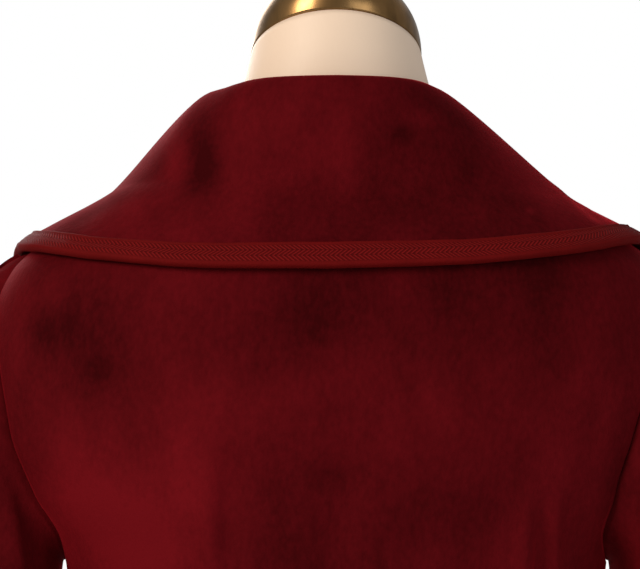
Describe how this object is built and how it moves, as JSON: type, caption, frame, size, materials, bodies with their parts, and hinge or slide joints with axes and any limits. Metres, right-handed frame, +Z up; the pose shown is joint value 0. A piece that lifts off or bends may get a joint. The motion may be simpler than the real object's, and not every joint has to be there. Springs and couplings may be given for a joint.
{
  "type": "long coat on a dress form",
  "caption": "Long velvet coat with a wide rolled collar edged in braid, worn on a limbless dress form with a stand.",
  "frame": {"origin": "centre of the stand's base on the floor", "axes": "+Z up along the pole, the coat's front faces -Y and the wearer's left is +X"},
  "size_m": [0.6122, 0.5245, 1.5034],
  "materials": {
    "velvet": "dark wine red velvet",
    "braid": "red twill braid",
    "form_cover": "cream jersey stretched smooth",
    "cap_metal": "polished",
    "stand_metal": "satin"
  },
  "bodies": {
    "root": {"back": "velvet", "front_right": "velvet", "front_left": "velvet", "sleeve_left": "velvet", "sleeve_right": "velvet", "collar": "velvet", "collar_binding": "braid", "button_1": "velvet", "button_2": "velvet", "button_3": "velvet", "button_4": "velvet", "button_5": "velvet", "form_torso": "form_cover", "neck_cap": "cap_metal", "pole": "stand_metal", "base": "stand_metal"}
  },
  "joints": []
}
